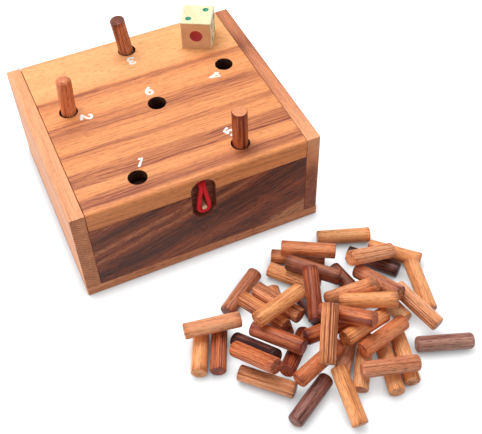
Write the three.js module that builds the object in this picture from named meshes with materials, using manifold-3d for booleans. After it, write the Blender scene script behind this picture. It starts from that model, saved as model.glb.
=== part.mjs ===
// Wooden dice game: a hinged box with five numbered peg holes and a sixth hole that
// goes right through the lid, forty-seven pegs, one die and an elastic latch.
// Millimetres, +Z up. The origin is the middle of the box's underside, the front of
// the box faces -Y, and three pegs and the die stand on the closed lid while the
// other pegs lie in a heap on the table in front of it.
import * as THREE from 'three';
import { RoundedBoxGeometry } from 'three/addons/geometries/RoundedBoxGeometry.js';
import { mergeVertices } from 'three/addons/utils/BufferGeometryUtils.js';
import Module from 'manifold-3d';

// Box boards
const boxWidth = 145;
const boxDepth = 130;
const boxHeight = 65;
const sideThickness = 8.5;
const wallThickness = 8.5;
const bottomThickness = 6.5;
const lidThickness = 12.5;
const lidSideGap = 0.4;
const lidSeatGap = 0.3;
const lidFrontRound = 1.8;
const lidRearEase = 0.8;

// Hinge pins, driven through the sides into the lid's ends
const hingePinDiameter = 3;
const hingePinGrip = 9;
const hingePinRunningGap = 0.1;
const hingePinFromRear = 5.5;
const hingePinEndSlack = 0.5;

// Peg holes in the lid
const holeDiameter = 10.6;
const holeDepth = 8;
const frontHoleAcross = 30;
const frontHoleFromFront = 14.5;
const sideHoleFromSide = 24;
const sideHoleBack = 15;
const rearHoleFromRear = 12;

// Pegs
const pegLength = 31.5;
const pegDiameter = 9;
const pegEase = 0.8;
const pegDome = 2.4;
const clearance = 0.3;

// Latch: a round-ended notch across the seam, a short dowel and an elastic loop
const latchX = 1.3;
const notchWidth = 14.5;
const notchHeight = 29;
const notchDepth = 5;
const notchBelowTop = 2.8;
const latchPegDiameter = 3;
const latchPegBelowTop = 25.2;
const latchPegRoot = 3;
const elasticDiameter = 2.6;
const elasticPegGap = 0.3;
const elasticStrandGap = 0.4;
const elasticBelowTop = 7.2;
const elasticProud = 3.6;
const elasticRoot = 6;
const elasticSlotSlack = 0.4;

// Die
const dieSize = 18.7;
const dieEase = 0.6;
const dieFromRight = 28.4;
const dieFromRear = 21.3;
const pipDiameter = 3.7;
const bigPipDiameter = 7.9;
const pipDepth = 0.8;
const pipSpacing = 9.4;

// Heap of loose pegs
const heapAcross = 45;
const heapFromFront = 80;

// How finely round shapes are cut, in facets per turn
const pegSides = 16;
const holeSides = 24;
const pinSides = 16;
const cordSides = 8;
const pipSides = 12;
const easeSteps = 2;
const edgeSides = 8;
const bightSteps = 6;
const crownSteps = 4;
const cordSteps = 44;
const cutOverrun = 1;
const mergeReach = 0.0001;
const settleStep = 0.01;

// Sizes that follow from the ones above
const pegRadius = pegDiameter / 2;
const innerHalfWidth = boxWidth / 2 - sideThickness;
const frontFace = -boxDepth / 2;
const rearFace = boxDepth / 2;
const lidUnderside = boxHeight - lidThickness;
const wallTop = lidUnderside - lidSeatGap;
const hingeY = rearFace - hingePinFromRear;
const hingeZ = boxHeight - lidThickness / 2;
const notchTop = boxHeight - notchBelowTop;
const notchFloor = frontFace + notchDepth;
const latchPegZ = boxHeight - latchPegBelowTop;
const heapX = heapAcross;
const heapY = frontFace - heapFromFront;
const quarterTurn = Math.PI / 2;
const degree = Math.PI / 180;

// Woods, from the box's boards to the palest and the darkest pegs, and the other
// materials: colour, roughness and metalness.
const finishes = {
  lid: [0xc98246, 0.5, 0],
  side: [0xb46c3c, 0.5, 0],
  wall: [0x6e4028, 0.5, 0],
  bottom: [0xa86434, 0.55, 0],
  pale: [0xe2b070, 0.6, 0],
  honey: [0xd08c50, 0.6, 0],
  tan: [0xb98054, 0.6, 0],
  orange: [0xb4683a, 0.55, 0],
  brown: [0x905838, 0.6, 0],
  russet: [0x6f3c2c, 0.55, 0],
  plum: [0x59342f, 0.55, 0],
  dark: [0x33211f, 0.55, 0],
  die: [0xecd8a8, 0.5, 0],
  steel: [0x9a9a98, 0.35, 1],
  elastic: [0xc8242c, 0.8, 0],
};

const wasm = await Module();
wasm.setup();

// Turns a closed geometry into a solid that can be joined and cut.
function solidOf(geometry) {
  const plain = geometry.index ? geometry.clone() : geometry;
  plain.deleteAttribute('normal');
  plain.deleteAttribute('uv');
  const merged = mergeVertices(plain, mergeReach);
  return new wasm.Manifold(new wasm.Mesh({
    numProp: 3,
    vertProperties: new Float32Array(merged.attributes.position.array),
    triVerts: new Uint32Array(merged.index.array),
  }));
}

function geometryOf(solid) {
  const mesh = solid.getMesh();
  const geometry = new THREE.BufferGeometry();
  const places = new Float32Array(mesh.vertProperties);
  const triangles = new Uint32Array(mesh.triVerts);
  geometry.setAttribute('position', new THREE.BufferAttribute(places, 3));
  geometry.setIndex(new THREE.BufferAttribute(triangles, 1));
  geometry.computeVertexNormals();
  return geometry;
}

function cutAway(geometry, cutters) {
  let solid = solidOf(geometry);
  for (const cutter of cutters) {
    solid = solid.subtract(solidOf(cutter));
  }
  return geometryOf(solid);
}

function makeMesh(name, geometry, finish) {
  const [color, roughness, metalness] = finishes[finish];
  const mesh = new THREE.Mesh(geometry, new THREE.MeshStandardMaterial({ color, roughness, metalness }));
  mesh.name = name;
  return mesh;
}

// A board from its low corner to its high corner.
function board(low, high) {
  const size = new THREE.Vector3().subVectors(high, low);
  const middle = new THREE.Vector3().addVectors(low, high).multiplyScalar(0.5);
  return new THREE.BoxGeometry(size.x, size.y, size.z).translate(middle.x, middle.y, middle.z);
}

// Round bar along an axis letter, with its middle at the given point.
function bar(axis, radius, length, middle, sides) {
  const geometry = new THREE.CylinderGeometry(radius, radius, length, sides);
  if (axis === 'x') geometry.rotateZ(quarterTurn);
  if (axis === 'z') geometry.rotateX(quarterTurn);
  return geometry.translate(middle.x, middle.y, middle.z);
}

// Upright outline with round ends, pushed back along +Y from the plane y = front.
function roundEndedCutter(centreX, lowZ, highZ, width, front, depth) {
  const radius = width / 2;
  const shape = new THREE.Shape();
  shape.absarc(0, highZ - radius, radius, 0, Math.PI);
  shape.absarc(0, lowZ + radius, radius, Math.PI, 2 * Math.PI);
  shape.closePath();
  const curveSegments = holeSides / 2;
  const geometry = new THREE.ExtrudeGeometry(shape, { depth, bevelEnabled: false, curveSegments });
  return geometry.rotateX(quarterTurn).translate(centreX, front + depth, 0);
}

// Boards of the box
const holeForPin = (side) => bar(
  'x',
  hingePinDiameter / 2 + hingePinRunningGap,
  2 * (sideThickness + cutOverrun),
  new THREE.Vector3(side * boxWidth / 2, hingeY, hingeZ),
  pinSides,
);

function makeSide(side) {
  const outer = side * boxWidth / 2;
  const inner = side * innerHalfWidth;
  const low = new THREE.Vector3(Math.min(outer, inner), frontFace, bottomThickness);
  const high = new THREE.Vector3(Math.max(outer, inner), rearFace, boxHeight);
  return cutAway(board(low, high), [holeForPin(side)]);
}

function makeWall(outerFace, innerFace) {
  const low = new THREE.Vector3(-innerHalfWidth, Math.min(outerFace, innerFace), bottomThickness);
  const high = new THREE.Vector3(innerHalfWidth, Math.max(outerFace, innerFace), wallTop);
  return board(low, high);
}

const notchCutter = () => roundEndedCutter(
  latchX,
  notchTop - notchHeight,
  notchTop,
  notchWidth,
  frontFace - cutOverrun,
  notchDepth + cutOverrun,
);

const bottomBoard = board(
  new THREE.Vector3(-boxWidth / 2, frontFace, 0),
  new THREE.Vector3(boxWidth / 2, rearFace, bottomThickness),
);

const latchPegSocket = bar(
  'y',
  latchPegDiameter / 2 + hingePinRunningGap,
  latchPegRoot + clearance + cutOverrun,
  new THREE.Vector3(latchX, notchFloor + (latchPegRoot + clearance - cutOverrun) / 2, latchPegZ),
  pinSides,
);

const frontWall = cutAway(
  makeWall(frontFace, frontFace + wallThickness),
  [notchCutter(), latchPegSocket],
);

// Lid: its rear lower edge is an arc about the hinge line, so that it clears the rear wall.
function makeLid() {
  const swing = Math.min(lidThickness / 2, Math.hypot(hingePinFromRear, lidThickness / 2));
  const arcEnd = -Math.acos(Math.min(1, hingePinFromRear / swing));
  const profile = new THREE.Shape();
  profile.moveTo(frontFace, lidUnderside);
  profile.lineTo(hingeY, lidUnderside);
  profile.absarc(hingeY, hingeZ, swing, -quarterTurn, arcEnd, false);
  profile.lineTo(rearFace, boxHeight - lidRearEase);
  profile.lineTo(rearFace - lidRearEase, boxHeight);
  profile.absarc(
    frontFace + lidFrontRound,
    boxHeight - lidFrontRound,
    lidFrontRound,
    quarterTurn,
    Math.PI,
    false,
  );
  profile.closePath();
  const width = 2 * (innerHalfWidth - lidSideGap);
  const slab = new THREE.ExtrudeGeometry(profile, {
    depth: width,
    bevelEnabled: false,
    curveSegments: edgeSides,
  });
  const turn = new THREE.Matrix4().makeBasis(
    new THREE.Vector3(0, 1, 0),
    new THREE.Vector3(0, 0, 1),
    new THREE.Vector3(1, 0, 0),
  );
  slab.applyMatrix4(turn);
  slab.translate(-width / 2, 0, 0);
  return slab;
}

const frontHoleY = frontFace + frontHoleFromFront;
const sideHoleX = boxWidth / 2 - sideHoleFromSide;
const pegHoles = {
  1: [-frontHoleAcross, frontHoleY],
  2: [-sideHoleX, sideHoleBack],
  3: [0, rearFace - rearHoleFromRear],
  4: [sideHoleX, sideHoleBack],
  5: [frontHoleAcross, frontHoleY],
  6: [0, 0],
};

function pegHoleCutter(number) {
  const [x, y] = pegHoles[number];
  const goesThrough = number === '6';
  const depth = goesThrough ? lidThickness + cutOverrun : holeDepth;
  const length = depth + cutOverrun;
  const middle = new THREE.Vector3(x, y, boxHeight + cutOverrun - length / 2);
  return bar('z', holeDiameter / 2, length, middle, holeSides);
}

// Flat slot in the back of the notch that holds both ends of the elastic.
const strandOffset = (elasticDiameter + elasticStrandGap) / 2;
const elasticZ = boxHeight - elasticBelowTop;
const slotHalfWidth = strandOffset + elasticDiameter / 2 + elasticSlotSlack;
const slotHalfHeight = elasticDiameter / 2 + elasticSlotSlack;
const elasticSlot = board(
  new THREE.Vector3(latchX - slotHalfWidth, notchFloor - cutOverrun, elasticZ - slotHalfHeight),
  new THREE.Vector3(latchX + slotHalfWidth, notchFloor + elasticRoot + clearance, elasticZ + slotHalfHeight),
);

const lidPinHole = (side) => {
  const depth = hingePinGrip + hingePinEndSlack;
  const faceX = innerHalfWidth - lidSideGap;
  const middleX = side * (faceX - (depth - cutOverrun) / 2);
  const radius = hingePinDiameter / 2 + hingePinRunningGap;
  return bar('x', radius, depth + cutOverrun, new THREE.Vector3(middleX, hingeY, hingeZ), pinSides);
};

const lid = cutAway(makeLid(), [
  ...Object.keys(pegHoles).map(pegHoleCutter),
  notchCutter(),
  elasticSlot,
  lidPinHole(-1),
  lidPinHole(1),
]);

function makeHingePin(side) {
  const length = sideThickness + lidSideGap + hingePinGrip;
  const middle = new THREE.Vector3(side * (boxWidth / 2 - length / 2), hingeY, hingeZ);
  return bar('x', hingePinDiameter / 2, length, middle, pinSides);
}

const latchPeg = bar(
  'y',
  latchPegDiameter / 2,
  notchDepth + latchPegRoot,
  new THREE.Vector3(latchX, frontFace + (notchDepth + latchPegRoot) / 2, latchPegZ),
  pinSides,
);

// Elastic loop: both ends lie in the lid's slot, the strands come forward, hang down
// and spread, and the bight passes under the latch dowel.
function makeElasticLoop() {
  const bight = latchPegDiameter / 2 + elasticPegGap + elasticDiameter / 2;
  const planeY = notchFloor - elasticProud;
  const bend = elasticDiameter;
  const strand = [
    [strandOffset, notchFloor + elasticRoot, elasticZ],
    [strandOffset, notchFloor + bend, elasticZ],
    [strandOffset, notchFloor - elasticProud / 2, elasticZ - bend / 4],
    [strandOffset, planeY, elasticZ - bend],
    [(strandOffset + bight) / 2, planeY, (elasticZ + latchPegZ) / 2],
  ];
  const points = strand.map(([x, y, z]) => new THREE.Vector3(latchX + x, y, z));
  for (let step = 0; step <= bightSteps; step += 1) {
    const angle = -Math.PI * step / bightSteps;
    const x = latchX + bight * Math.cos(angle);
    const z = latchPegZ + bight * Math.sin(angle);
    points.push(new THREE.Vector3(x, planeY, z));
  }
  for (const [x, y, z] of strand.reverse()) {
    points.push(new THREE.Vector3(latchX - x, y, z));
  }
  const route = new THREE.CatmullRomCurve3(points, false, 'centripetal');
  const section = new THREE.Shape();
  section.absarc(0, 0, elasticDiameter / 2, 0, 2 * Math.PI);
  return new THREE.ExtrudeGeometry(section, {
    steps: cordSteps,
    bevelEnabled: false,
    curveSegments: cordSides / 2,
    extrudePath: route,
  });
}

// Peg along the X axis, its middle at the origin. A domed peg is rounded at its +X end.
function makePeg(domed) {
  const half = pegLength / 2;
  const profile = [
    new THREE.Vector2(0, -half),
    new THREE.Vector2(pegRadius - pegEase, -half),
    new THREE.Vector2(pegRadius, -half + pegEase),
  ];
  if (domed) {
    for (let step = 0; step < crownSteps; step += 1) {
      const angle = quarterTurn * step / crownSteps;
      const along = half - pegDome + pegDome * Math.sin(angle);
      profile.push(new THREE.Vector2(pegRadius * Math.cos(angle), along));
    }
  } else {
    profile.push(new THREE.Vector2(pegRadius, half - pegEase));
    profile.push(new THREE.Vector2(pegRadius - pegEase, half));
  }
  profile.push(new THREE.Vector2(0, half));
  return new THREE.LatheGeometry(profile, pegSides).rotateZ(-quarterTurn);
}

// The die stands at the origin with its numbers 2 up, 1 in front and 4 to the right.
function makeDie() {
  const half = dieSize / 2;
  const block = new RoundedBoxGeometry(dieSize, dieSize, dieSize, easeSteps, dieEase);
  return cutAway(block, pipCutters(half)).translate(0, 0, half);
}

// Shallow dishes of the pips: places are in steps of half the pip spacing, on each face.
function pipCutters(half) {
  const corner = [[-1, -1], [1, 1]];
  const otherCorner = [[-1, 1], [1, -1]];
  const sides = [[-1, 0], [1, 0]];
  const centre = [[0, 0]];
  const faces = [
    { pips: centre, turn: [quarterTurn, 0, 0] },
    { pips: corner, turn: [0, 0, 0] },
    { pips: [...corner, ...centre], turn: [0, -quarterTurn, 0] },
    { pips: [...corner, ...otherCorner], turn: [0, quarterTurn, 0] },
    { pips: [...corner, ...otherCorner, ...centre], turn: [Math.PI, 0, 0] },
    { pips: [...corner, ...otherCorner, ...sides], turn: [-quarterTurn, 0, 0] },
  ];
  const cutters = [];
  for (const { pips, turn } of faces) {
    const rim = (pips.length === 1 ? bigPipDiameter : pipDiameter) / 2;
    const ball = (rim * rim + pipDepth * pipDepth) / (2 * pipDepth);
    for (const [across, up] of pips) {
      const cap = capCutter(rim, ball);
      cap.translate(across * pipSpacing / 2, up * pipSpacing / 2, half);
      cap.rotateX(turn[0]).rotateY(turn[1]);
      cutters.push(cap);
    }
  }
  return cutters;
}

// A lens-shaped cutter whose underside is a ball's cap, sunk by the pip's depth.
function capCutter(rim, ball) {
  const profile = [new THREE.Vector2(0, -pipDepth)];
  const capSteps = 3;
  const halfAngle = Math.asin(Math.min(1, rim / ball));
  for (let step = 1; step <= capSteps; step += 1) {
    const angle = halfAngle * step / capSteps;
    profile.push(new THREE.Vector2(ball * Math.sin(angle), ball - pipDepth - ball * Math.cos(angle)));
  }
  profile.push(new THREE.Vector2(rim, cutOverrun));
  profile.push(new THREE.Vector2(0, cutOverrun));
  return new THREE.LatheGeometry(profile, pipSides).rotateX(quarterTurn);
}

// A peg as a round-ended rod about this length of axis takes in the whole peg: its eased
// rims never stand out of the rod by more than half the clearance.
const rimReach = Math.sqrt((pegRadius + clearance / 2) ** 2 - pegRadius ** 2);
const axisReach = pegLength / 2 - pegEase - rimReach;
const onAxis = (place) => Math.max(-axisReach, Math.min(axisReach, place));

// Shortest distance between two peg axes with unit directions a and b, where the
// middle of a lies at (x, y, z) from the middle of b.
function axisDistance(a, b, x, y, z) {
  const cosine = a.x * b.x + a.y * b.y + a.z * b.z;
  const alongA = a.x * x + a.y * y + a.z * z;
  const alongB = b.x * x + b.y * y + b.z * z;
  const spread = 1 - cosine * cosine;
  const firstOnA = spread > 1e-9 ? onAxis((cosine * alongB - alongA) / spread) : 0;
  const onB = onAxis(cosine * firstOnA + alongB);
  const onA = onAxis(cosine * onB - alongA);
  return Math.hypot(x + a.x * onA - b.x * onB, y + a.y * onA - b.y * onB, z + a.z * onA - b.z * onB);
}

// Lowers a peg held at this place, heading and tilt until it meets the table or a peg.
function lowerPeg(x, y, heading, tilt, laid) {
  const along = new THREE.Vector3(
    Math.cos(tilt) * Math.cos(heading),
    Math.cos(tilt) * Math.sin(heading),
    Math.sin(tilt),
  );
  const rise = Math.abs(Math.sin(tilt));
  const drop = Math.cos(tilt);
  const onTable = Math.max(
    (pegLength / 2 - pegEase) * rise + pegRadius * drop,
    pegLength / 2 * rise + (pegRadius - pegEase) * drop,
  );
  let height = 12 * pegRadius;
  let fall = height;
  while (fall > 0 && height > onTable) {
    fall = height - onTable;
    for (const peg of laid) {
      const { x: px, y: py, z: pz } = peg.middle;
      const room = axisDistance(along, peg.along, x - px, y - py, height - pz) - pegDiameter - clearance;
      fall = Math.min(fall, room);
    }
    if (fall > 0) {
      height = Math.max(onTable, height - Math.max(fall, settleStep));
    }
  }
  return { middle: new THREE.Vector3(x, y, height), along, heading, tilt };
}

// A peg laid at a place tips and rolls a little to either side, to where it lies lowest.
const tiltStep = 2 * degree;
const tiltSteps = 18;
const rollShare = 0.18;
const rollSteps = 4;
const rollPrice = 0.4;
const eitherSide = (steps) => {
  const order = [0];
  for (let step = 1; step <= steps; step += 1) order.push(step, -step);
  return order;
};

function layPeg(x, y, heading, laid) {
  const reach = pegLength + pegDiameter;
  const near = laid.filter((peg) => Math.hypot(peg.middle.x - x, peg.middle.y - y) < reach);
  let best = null;
  let bestCost = Infinity;
  for (const rollStep of eitherSide(rollSteps)) {
    const roll = rollStep * rollShare * pegRadius;
    for (const tiltCount of eitherSide(tiltSteps)) {
      const place = lowerPeg(
        x - roll * Math.sin(heading),
        y + roll * Math.cos(heading),
        heading,
        tiltCount * tiltStep,
        near,
      );
      const cost = place.middle.z + rollPrice * Math.abs(roll);
      if (cost < bestCost - settleStep) {
        best = place;
        bestCost = cost;
      }
    }
  }
  return best;
}

// The heap, from the first peg laid to the last: where each peg's middle lies from the
// heap's middle, in shares of the peg length, its heading in degrees, and its wood.
const heapShares = [
  [-2.35, 0.60, -115, 'orange'],
  [-2.05, 0.50, -115, 'russet'],
  [-1.25, 1.35, -145, 'russet'],
  [-1.60, -0.45, -45, 'tan'],
  [-0.95, -0.20, 45, 'russet'],
  [-1.10, -1.05, 30, 'plum'],
  [0.00, 1.60, -30, 'russet'],
  [-0.25, 1.25, -50, 'brown'],
  [1.00, 1.70, -20, 'honey'],
  [1.20, 0.95, -50, 'dark'],
  [1.65, 0.95, -45, 'tan'],
  [1.60, 0.10, -100, 'honey'],
  [0.55, 0.65, -80, 'brown'],
  [-0.30, 0.40, -85, 'brown'],
  [-0.80, 0.70, 80, 'brown'],
  [1.00, 0.10, -80, 'dark'],
  [1.35, -0.30, -75, 'brown'],
  [1.45, -1.00, -20, 'plum'],
  [0.70, -1.00, -105, 'brown'],
  [0.35, -1.05, -105, 'honey'],
  [-0.10, -0.45, 50, 'russet'],
  [0.00, -0.85, -125, 'pale'],
  [-1.55, 0.10, -65, 'plum'],
  [-1.60, -0.15, -65, 'brown'],
  [-1.15, 0.65, -65, 'brown'],
  [-0.85, 0.70, -65, 'brown'],
  [-0.25, -0.15, 0, 'orange'],
  [-0.75, -0.60, 20, 'orange'],
  [0.20, -0.40, 15, 'honey'],
  [0.40, -0.60, 15, 'honey'],
  [1.00, 0.35, -70, 'tan'],
  [0.15, 1.50, -30, 'honey'],
  [0.05, 1.10, -45, 'plum'],
  [0.45, 0.45, -30, 'tan'],
  [-0.25, 0.55, -110, 'orange'],
  [-1.20, 0.00, -55, 'orange'],
  [0.45, -0.10, -35, 'tan'],
  [-0.05, -0.25, -50, 'pale'],
  [1.05, 0.85, 5, 'brown'],
  [0.25, -1.20, -15, 'brown'],
  [-0.55, -1.30, -95, 'tan'],
  [-2.05, 0.75, -10, 'honey'],
  [-0.95, 0.45, 15, 'honey'],
  [-0.50, -0.45, -120, 'brown'],
];

function makeHeap() {
  const heap = new THREE.Group();
  const laid = [];
  heapShares.forEach(([acrossShare, backShare, heading, wood], place) => {
    const x = heapX + acrossShare * pegLength;
    const y = heapY + backShare * pegLength;
    const peg = layPeg(x, y, heading * degree, laid);
    laid.push(peg);
    const mesh = makeMesh(`heap_peg_${String(place + 1).padStart(2, '0')}`, makePeg(false), wood);
    mesh.rotation.set(0, -peg.tilt, peg.heading, 'ZYX');
    mesh.position.copy(peg.middle);
    heap.add(mesh);
  });
  return heap;
}

// Pegs standing in their holes: the lean is in degrees, towards this heading in degrees.
const standingPegs = [
  { hole: 2, lean: 3, towards: 25, domed: true, wood: 'honey' },
  { hole: 3, lean: 6.5, towards: 185, domed: false, wood: 'orange' },
  { hole: 5, lean: 0, towards: 0, domed: false, wood: 'brown' },
];

// A leaning peg's axis crosses the hole's own axis half way down the hole, and the
// lowest point of its foot keeps the clearance to the hole's floor.
function makeStandingPeg({ hole, lean, towards, domed, wood }) {
  const [x, y] = pegHoles[hole];
  const tilt = quarterTurn - lean * degree;
  const along = new THREE.Vector3(
    Math.cos(tilt) * Math.cos(towards * degree),
    Math.cos(tilt) * Math.sin(towards * degree),
    Math.sin(tilt),
  );
  const footRise = clearance + (pegRadius - pegEase) * Math.cos(tilt);
  const footFromCrossing = (footRise - holeDepth / 2) / along.z;
  const crossing = new THREE.Vector3(x, y, boxHeight - holeDepth / 2);
  const mesh = makeMesh(`peg_in_hole_${hole}`, makePeg(domed), wood);
  mesh.rotation.set(0, -tilt, towards * degree, 'ZYX');
  mesh.position.copy(crossing).addScaledVector(along, footFromCrossing + pegLength / 2);
  return mesh;
}

const dieMesh = makeMesh('die', makeDie(), 'die');
const dieHeading = -29.5;
dieMesh.rotation.z = dieHeading * degree;
dieMesh.position.set(boxWidth / 2 - dieFromRight, rearFace - dieFromRear, boxHeight);

const box = new THREE.Group();
box.add(
  makeMesh('bottom_board', bottomBoard, 'bottom'),
  makeMesh('left_side', makeSide(-1), 'side'),
  makeMesh('right_side', makeSide(1), 'side'),
  makeMesh('front_wall', frontWall, 'wall'),
  makeMesh('rear_wall', makeWall(rearFace, rearFace - wallThickness), 'wall'),
  makeMesh('hinge_pin_left', makeHingePin(-1), 'steel'),
  makeMesh('hinge_pin_right', makeHingePin(1), 'steel'),
  makeMesh('latch_peg', latchPeg, 'pale'),
  makeMesh('lid', lid, 'lid'),
  makeMesh('elastic_loop', makeElasticLoop(), 'elastic'),
);

const diceGame = new THREE.Group();
diceGame.add(box, dieMesh, ...standingPegs.map(makeStandingPeg), makeHeap());

export default diceGame;
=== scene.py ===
"""Looks of a wooden dice game: a hinged box with numbered peg holes, its pegs, one die
and an elastic latch.

Lengths are in metres unless a name or comment says millimetres. The origin is the
middle of the box's underside, +Z is up and the front of the box faces -Y. Every piece
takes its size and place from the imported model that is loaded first.
"""
import math
import random

import bpy
import numpy as np
from bpy.props import FloatProperty, FloatVectorProperty, IntProperty, PointerProperty
from mathutils import Matrix, Vector


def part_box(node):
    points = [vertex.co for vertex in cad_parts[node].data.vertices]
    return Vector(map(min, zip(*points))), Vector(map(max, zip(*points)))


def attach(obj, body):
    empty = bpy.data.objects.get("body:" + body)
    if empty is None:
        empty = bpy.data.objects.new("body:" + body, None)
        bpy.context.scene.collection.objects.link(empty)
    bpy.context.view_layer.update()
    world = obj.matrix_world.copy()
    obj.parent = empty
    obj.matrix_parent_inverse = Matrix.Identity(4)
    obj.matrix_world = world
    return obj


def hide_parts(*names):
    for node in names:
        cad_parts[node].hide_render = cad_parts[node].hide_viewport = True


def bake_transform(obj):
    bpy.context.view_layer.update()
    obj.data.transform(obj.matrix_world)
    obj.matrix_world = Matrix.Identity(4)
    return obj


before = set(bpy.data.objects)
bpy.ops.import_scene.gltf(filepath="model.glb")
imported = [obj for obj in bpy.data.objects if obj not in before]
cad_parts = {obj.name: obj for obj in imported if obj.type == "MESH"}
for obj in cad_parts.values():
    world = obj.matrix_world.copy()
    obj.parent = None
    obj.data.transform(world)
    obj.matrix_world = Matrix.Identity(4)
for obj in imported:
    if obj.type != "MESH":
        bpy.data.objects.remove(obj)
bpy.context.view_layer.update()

bl_info = {
    "name": "Wooden dice game",
    "version": (1, 0, 0),
    "blender": (4, 5, 0),
    "location": "View3D > Sidebar > Dice game",
    "description": "Builds a wooden dice game with pegs, a die and an elastic latch",
    "category": "Object",
}

MM = 0.001
QUARTER = math.pi / 2
SMOOTH_ANGLE = math.radians(32)
# Shares of the radius at which a rounded end is modelled
ROUND_STEPS = (0.35, 0.65, 0.87, 0.98)

# Latch and elastic, as in the model's source (millimetres)
LATCH_X = 1.3
NOTCH_WIDTH = 14.5
NOTCH_HEIGHT = 29
NOTCH_DEPTH = 5
NOTCH_BELOW_TOP = 2.8
LATCH_PEG_DIAMETER = 3
LATCH_PEG_BELOW_TOP = 25.2
LATCH_PEG_EASE = 0.5
SOCKET_DEPTH = 3.5
SOCKET_SLACK = 0.1
SOCKET_END_GAP = 0.3
ELASTIC_DIAMETER = 2.6
ELASTIC_PEG_GAP = 0.3
ELASTIC_STRAND_GAP = 0.4
ELASTIC_BELOW_TOP = 7.2
ELASTIC_PROUD = 3.6
ELASTIC_ROOT = 6
ELASTIC_ROOT_GAP = 0.3
ELASTIC_SLOT_SLACK = 0.4
# Share of their spacing in the slot that the strands keep where they bend down
ELASTIC_PINCH = 0.5
# Steps of the elastic's half turn round the dowel
BIGHT_STEPS = 6
CUT_OVERRUN = 1

# Box, lid, holes and hinge (millimetres), and the degrees at which an edge is planed round
BOX_DEPTH = 130
BOX_HEIGHT = 65
RIGHT_ROUND = 1.6
RIGHT_ROUND_CUTS = (22.5, 45, 67.5)
LID_THICKNESS = 12.5
# How much of the gap at each of its sides the lid fills
LID_GAP_FILL = 0.12
LID_FRONT_ROUND = 1.8
LID_REAR_EASE = 0.8
LID_HEEL_CUTS = range(36, 84, 8)
PIN_BORE_DIAMETER = 3.2
PIN_GRIP = 9.5
HOLE_DIAMETER = 10.6
HOLE_DEPTH = 8
HOLES = {
    1: (-30, -50.5),
    2: (-48.5, 15),
    3: (0, 53),
    4: (48.5, 15),
    5: (30, -50.5),
    6: (0, 0),
}
THROUGH_HOLE = 6

# Where each number stands from its hole (millimetres), and its turn in degrees
NUMERALS = {
    1: (5.1, 10.0, -36),
    2: (8.2, -8.6, -108),
    3: (-0.6, -10.8, 180),
    4: (-8.9, -7.9, 108),
    5: (-1.8, 10.6, 36),
    6: (-0.7, 11.7, 0),
}
# Strokes of each number, upright and one high, with its middle at the origin
STROKES = {
    1: [[(-0.20, 0.36), (0.05, 0.50), (0.05, -0.50)]],
    2: [[(-0.27, 0.27), (-0.19, 0.43), (0.0, 0.5), (0.19, 0.43), (0.26, 0.24),
         (0.17, 0.03), (-0.03, -0.22), (-0.28, -0.50)], [(-0.28, -0.50), (0.29, -0.50)]],
    3: [[(-0.26, 0.38), (-0.05, 0.50), (0.18, 0.45), (0.25, 0.28), (0.16, 0.09), (-0.04, 0.04)],
        [(-0.04, 0.04), (0.19, 0.0), (0.30, -0.20), (0.22, -0.42), (-0.02, -0.50), (-0.28, -0.38)]],
    4: [[(0.20, -0.50), (0.20, 0.50)], [(0.20, 0.50), (-0.36, -0.32), (0.36, -0.32)]],
    5: [[(0.27, 0.50), (-0.21, 0.50), (-0.27, 0.07)],
        [(-0.27, 0.07), (-0.02, 0.16), (0.23, 0.07), (0.31, -0.17), (0.21, -0.42),
         (-0.04, -0.50), (-0.30, -0.38)]],
    6: [[(0.16, 0.50), (-0.06, 0.36), (-0.24, 0.10), (-0.29, -0.19), (-0.19, -0.43),
         (0.01, -0.51), (0.22, -0.42), (0.29, -0.19), (0.21, 0.02), (0.01, 0.09), (-0.19, 0.0)]],
}

# Pegs and die (millimetres)
PEG_LENGTH = 31.5
PEG_DIAMETER = 9
# Share of its nominal size that a worn peg keeps
PEG_WEAR = 0.99
PEG_EASE = 0.8
PEG_DOME = 2.4
# Share of a domed peg's radius that is rounded
DOME_SHARE = 0.96
ROUND_EASE = 1.9
PLAIN_SIDES = 40
PEG_CUTS = 9
SPLINTERS = 0.6
UNEVEN_LENGTH = 7
DIE_SIZE = 18.7
DIE_EASE = 0.6
DIE_HEADING = -29.5
PIP_DIAMETER = 3.7
BIG_PIP_DIAMETER = 7.9
PIP_DEPTH = 0.8
PIP_SPACING = 9.4
# Depth of a groove across its four facets, and how deep one groove after another is
GROOVE_FORM = (0.0, 0.4, 1.0, 0.4)
GROOVE_DEPTHS = (1.0, 0.6, 0.85, 0.7, 0.45, 0.95, 0.55)
# Painted shade on a peg: how much of it a rim gets beside a full groove, and how much
# it darkens the wood
RIM_PAINTED_SHADE = 0.7
GROOVE_PAINTED_SHADE = 0.36

# Camera, from the corners of the box in the photograph
CAMERA_PLACE = (-0.098020, -0.352509, 0.389515)
CAMERA_HEADING = 22.7793
CAMERA_RISE = -49.7572
CAMERA_ROLL = -1.9709
CAMERA_LENS = 62.490
CAMERA_SENSOR = 36

# Each lamp: place and width in metres, and power in watts. All point at one place.
LAMPS = {
    "overhead": ((-0.08, 0.39, 1.14), 0.9, 13.6),
    "left": ((-1.25, -0.30, 0.22), 1.0, 9.8),
    "right": ((1.25, -0.30, 0.40), 1.0, 3.0),
    "front": ((0.35, -1.2, 0.35), 1.0, 2.0),
}
LAMP_TARGET = (0, -0.05, 0.03)
WORLD_LIGHT = 0.24
FLOOR_SIZE = 6
FLOOR_BELOW = 0.0002
# How white the floor looks to the camera, and how near a peg and how fast that whiteness
# fades, which paints shade round the pegs and the box
FLOOR_LIFT = 0.94
FLOOR_SHADE_REACH = 0.008
FLOOR_SHADE_FALL = 1.2


def linear(code):
    """An sRGB colour, as six hex digits, as linear red, green, blue and alpha."""
    channels = [int(code[i:i + 2], 16) / 255 for i in (0, 2, 4)]
    return tuple(
        c / 12.92 if c <= 0.04045 else ((c + 0.055) / 1.055) ** 2.4 for c in channels
    ) + (1.0,)


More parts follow.
